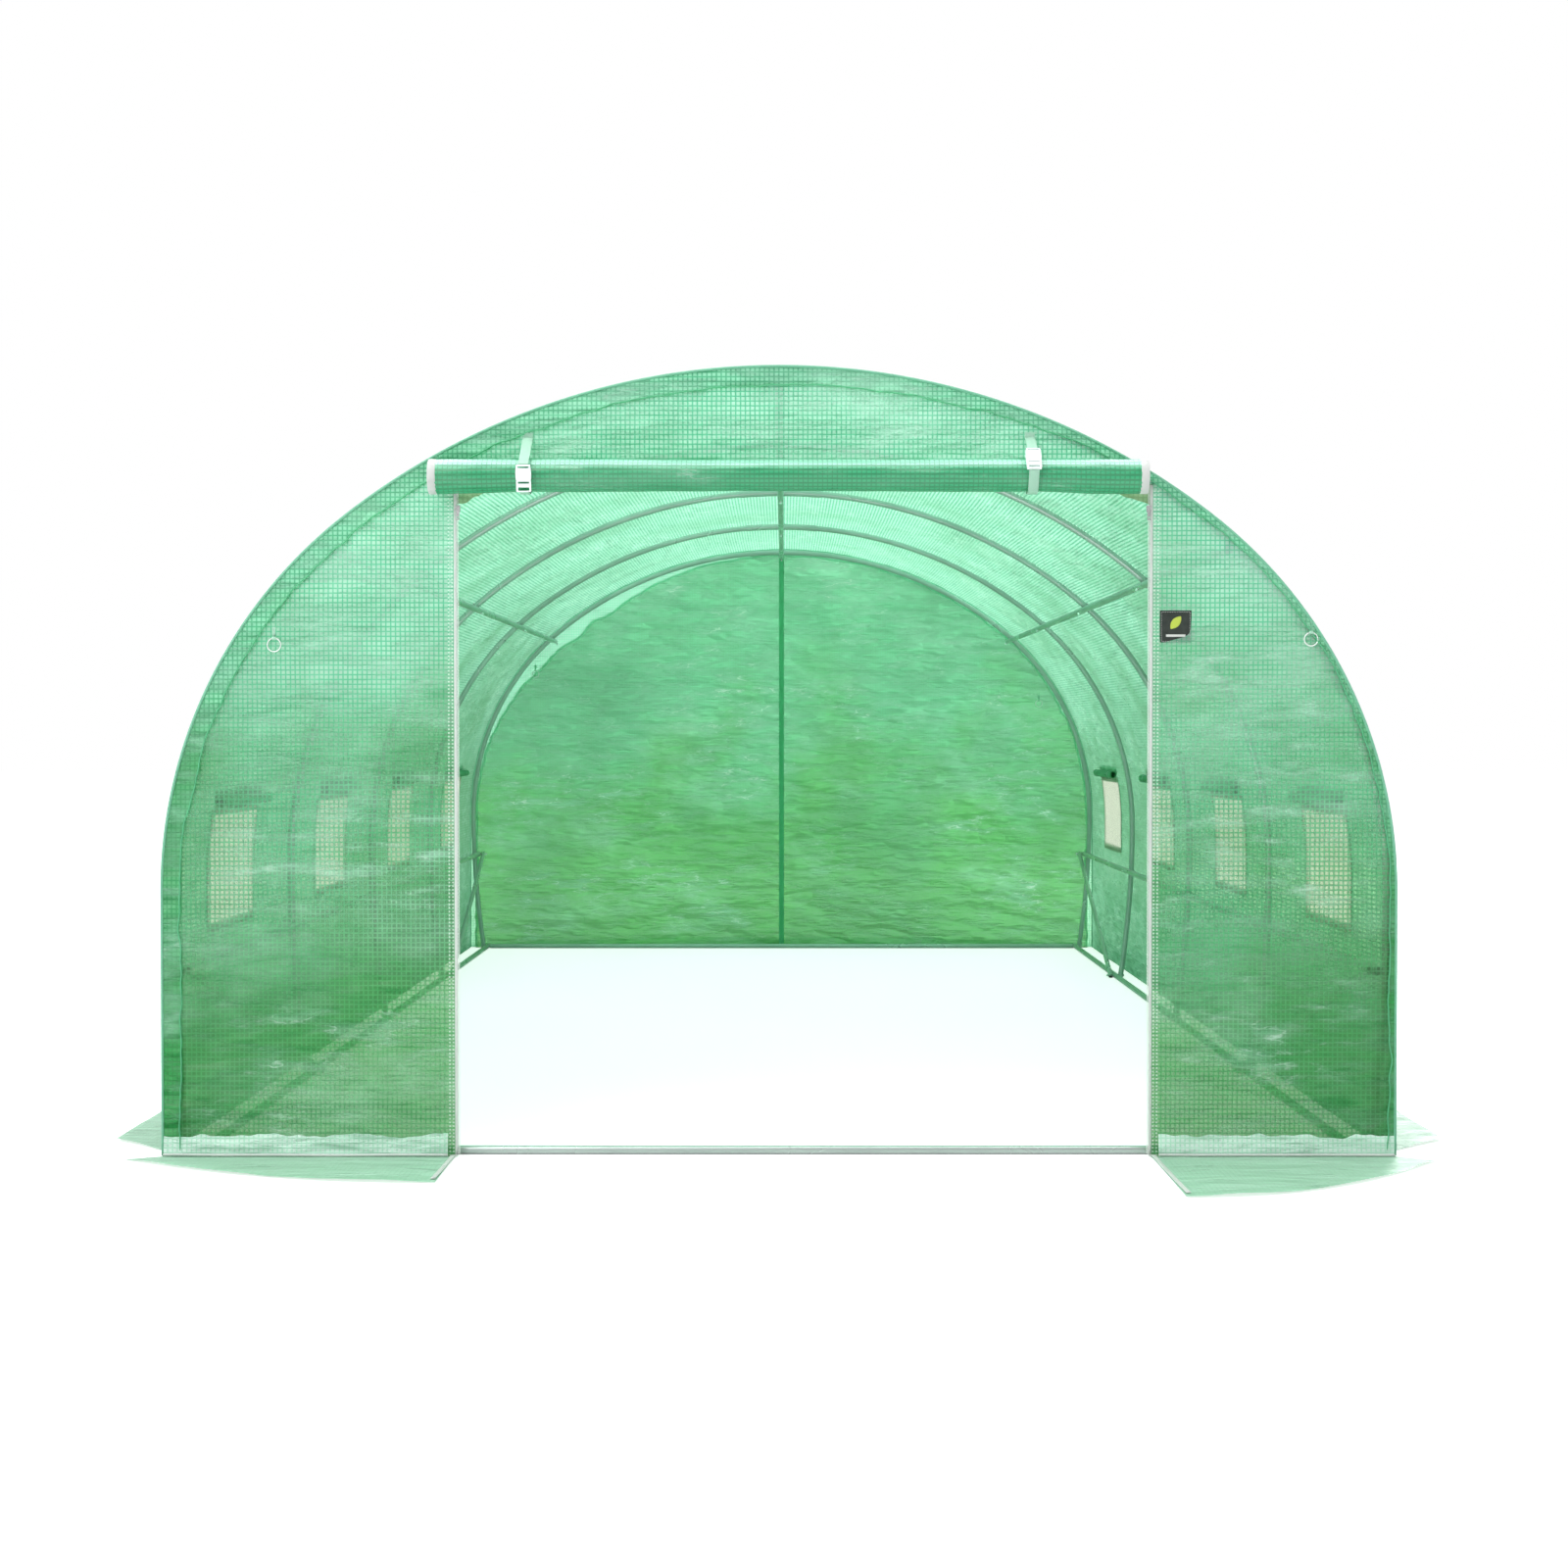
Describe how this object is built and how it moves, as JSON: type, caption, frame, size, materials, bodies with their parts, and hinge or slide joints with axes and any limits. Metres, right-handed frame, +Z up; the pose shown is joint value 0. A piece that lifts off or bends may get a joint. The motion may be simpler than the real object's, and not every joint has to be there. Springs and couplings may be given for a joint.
{
  "type": "walk-in tunnel greenhouse",
  "caption": "Walk-in tunnel greenhouse: steel hoops under a translucent green cover, with a roll-up front door held by buckled straps and roll-up side windows.",
  "frame": {"origin": "on the ground under the middle of the tunnel", "axes": "+X to the right seen from the doorway, +Y along the tunnel from the doorway to the back, +Z up"},
  "size_m": [3.41, 7.114, 1.951],
  "materials": {
    "steel_tube": "white powder coat over steel tube, slightly glossy",
    "bolt_steel": "bright zinc plating",
    "cover_cloth": "translucent green grid-reinforced polyethylene, creased, slightly glossy",
    "skirt_cloth": "the same cloth lying flat on the ground",
    "screen_mesh": "open knitted insect mesh",
    "flap_cloth": "rolled green grid cloth",
    "door_cloth": "rolled green grid cloth",
    "zip_tape": "white woven zip tape with a moulded coil",
    "slider_metal": "plated die casting",
    "webbing": "white woven webbing",
    "buckle_plastic": "white moulded plastic",
    "ring_metal": "plated steel wire",
    "label_patch": "dark woven patch, blank"
  },
  "bodies": {
    "frame_and_cover": {"base_side_rails": "steel_tube", "base_sills": "steel_tube", "cover_left": "cover_cloth", "cover_right": "cover_cloth", "cover_roof": "cover_cloth", "crown_sleeves": "steel_tube", "diagonal_braces": "steel_tube", "door_sheet": "door_cloth", "frame_bolts": "bolt_steel", "front_header": "cover_cloth", "front_panel_left": "cover_cloth", "front_panel_right": "cover_cloth", "ground_skirts": "skirt_cloth", "hoop_1_left_bow": "steel_tube", "hoop_1_right_bow": "steel_tube", "hoop_2_left_bow": "steel_tube", "hoop_2_right_bow": "steel_tube", "hoop_3_left_bow": "steel_tube", "hoop_3_right_bow": "steel_tube", "hoop_4_left_bow": "steel_tube", "hoop_4_right_bow": "steel_tube", "hoop_5_left_bow": "steel_tube", "hoop_5_right_bow": "steel_tube", "label": "label_patch", "left_legs": "steel_tube", "left_shoulder_purlin": "steel_tube", "left_waist_rail": "steel_tube", "rear_panel_left": "cover_cloth", "rear_panel_right": "cover_cloth", "ridge_purlin": "steel_tube", "right_legs": "steel_tube", "right_shoulder_purlin": "steel_tube", "right_waist_rail": "steel_tube", "ring_loops": "webbing", "strap_slings": "webbing", "window_screens": "screen_mesh", "zipper_left": "zip_tape", "zipper_right": "zip_tape"},
    "door": {"door_roll": "door_cloth"},
    "strap_left": {"strap_front_left": "webbing", "buckle_socket_left": "buckle_plastic"},
    "strap_right": {"strap_front_right": "webbing", "buckle_socket_right": "buckle_plastic"},
    "plug_left": {"buckle_plug_left": "buckle_plastic"},
    "plug_right": {"buckle_plug_right": "buckle_plastic"},
    "slider_left": {"zip_slider_left": "slider_metal"},
    "slider_right": {"zip_slider_right": "slider_metal"},
    "window_flap_left_1_roll": {"window_flap_left_1": "flap_cloth"},
    "window_flap_left_2_roll": {"window_flap_left_2": "flap_cloth"},
    "window_flap_left_3_roll": {"window_flap_left_3": "flap_cloth"},
    "window_flap_left_4_roll": {"window_flap_left_4": "flap_cloth"},
    "window_flap_right_1_roll": {"window_flap_right_1": "flap_cloth"},
    "window_flap_right_2_roll": {"window_flap_right_2": "flap_cloth"},
    "window_flap_right_3_roll": {"window_flap_right_3": "flap_cloth"},
    "window_flap_right_4_roll": {"window_flap_right_4": "flap_cloth"},
    "ring_front_left_body": {"ring_front_left": "ring_metal"},
    "ring_front_right_body": {"ring_front_right": "ring_metal"},
    "ring_rear_left_body": {"ring_rear_left": "ring_metal"},
    "ring_rear_right_body": {"ring_rear_right": "ring_metal"}
  },
  "joints": [
    {"name": "door_drop", "type": "slide", "parent": "frame_and_cover", "child": "door", "axis": [0, 0, -1], "range_m": [0, 1.615], "deforming": ["door_sheet", "strap_slings"]},
    {"name": "strap_swing_left", "type": "hinge", "parent": "frame_and_cover", "child": "strap_left", "pos_m": [-0.617, -3.0185, 1.775], "axis": [1, 0, 0], "range_deg": [0, 25]},
    {"name": "strap_swing_right", "type": "hinge", "parent": "frame_and_cover", "child": "strap_right", "pos_m": [0.617, -3.0185, 1.775], "axis": [1, 0, 0], "range_deg": [0, 25]},
    {"name": "buckle_release_left", "type": "slide", "parent": "strap_left", "child": "plug_left", "axis": [0, 0.309, -0.9511], "range_m": [0, 0.025]},
    {"name": "buckle_release_right", "type": "slide", "parent": "strap_right", "child": "plug_right", "axis": [0, -0.6293, -0.7771], "range_m": [0, 0.025]},
    {"name": "zip_left", "type": "slide", "parent": "frame_and_cover", "child": "slider_left", "axis": [0, 0, -1], "range_m": [0, 1.52]},
    {"name": "zip_right", "type": "slide", "parent": "frame_and_cover", "child": "slider_right", "axis": [0, 0, -1], "range_m": [0, 1.52]},
    {"name": "window_flap_left_1_drop", "type": "slide", "parent": "frame_and_cover", "child": "window_flap_left_1_roll", "axis": [0, 0, -1], "range_m": [0, 0.33]},
    {"name": "window_flap_left_2_drop", "type": "slide", "parent": "frame_and_cover", "child": "window_flap_left_2_roll", "axis": [0, 0, -1], "range_m": [0, 0.33]},
    {"name": "window_flap_left_3_drop", "type": "slide", "parent": "frame_and_cover", "child": "window_flap_left_3_roll", "axis": [0, 0, -1], "range_m": [0, 0.33]},
    {"name": "window_flap_left_4_drop", "type": "slide", "parent": "frame_and_cover", "child": "window_flap_left_4_roll", "axis": [0, 0, -1], "range_m": [0, 0.33]},
    {"name": "window_flap_right_1_drop", "type": "slide", "parent": "frame_and_cover", "child": "window_flap_right_1_roll", "axis": [0, 0, -1], "range_m": [0, 0.33]},
    {"name": "window_flap_right_2_drop", "type": "slide", "parent": "frame_and_cover", "child": "window_flap_right_2_roll", "axis": [0, 0, -1], "range_m": [0, 0.33]},
    {"name": "window_flap_right_3_drop", "type": "slide", "parent": "frame_and_cover", "child": "window_flap_right_3_roll", "axis": [0, 0, -1], "range_m": [0, 0.33]},
    {"name": "window_flap_right_4_drop", "type": "slide", "parent": "frame_and_cover", "child": "window_flap_right_4_roll", "axis": [0, 0, -1], "range_m": [0, 0.33]},
    {"name": "ring_front_left_swing", "type": "hinge", "parent": "frame_and_cover", "child": "ring_front_left_body", "pos_m": [-1.243, -3.0215, 1.2815], "axis": [-1, 0, 0], "range_deg": [0, 150]},
    {"name": "ring_front_right_swing", "type": "hinge", "parent": "frame_and_cover", "child": "ring_front_right_body", "pos_m": [1.31, -3.0215, 1.2955], "axis": [-1, 0, 0], "range_deg": [0, 150]},
    {"name": "ring_rear_left_swing", "type": "hinge", "parent": "frame_and_cover", "child": "ring_rear_left_body", "pos_m": [-1.203, 3.0105, 1.3565], "axis": [-1, 0, 0], "range_deg": [0, 150]},
    {"name": "ring_rear_right_swing", "type": "hinge", "parent": "frame_and_cover", "child": "ring_rear_right_body", "pos_m": [1.26, 3.0105, 1.2125], "axis": [-1, 0, 0], "range_deg": [0, 150]}
  ],
  "couplings": [
    {"joint": "strap_swing_left", "follows": "door_drop", "rad_per_m": 0.27017},
    {"joint": "strap_swing_right", "follows": "door_drop", "rad_per_m": 0.27017}
  ]
}
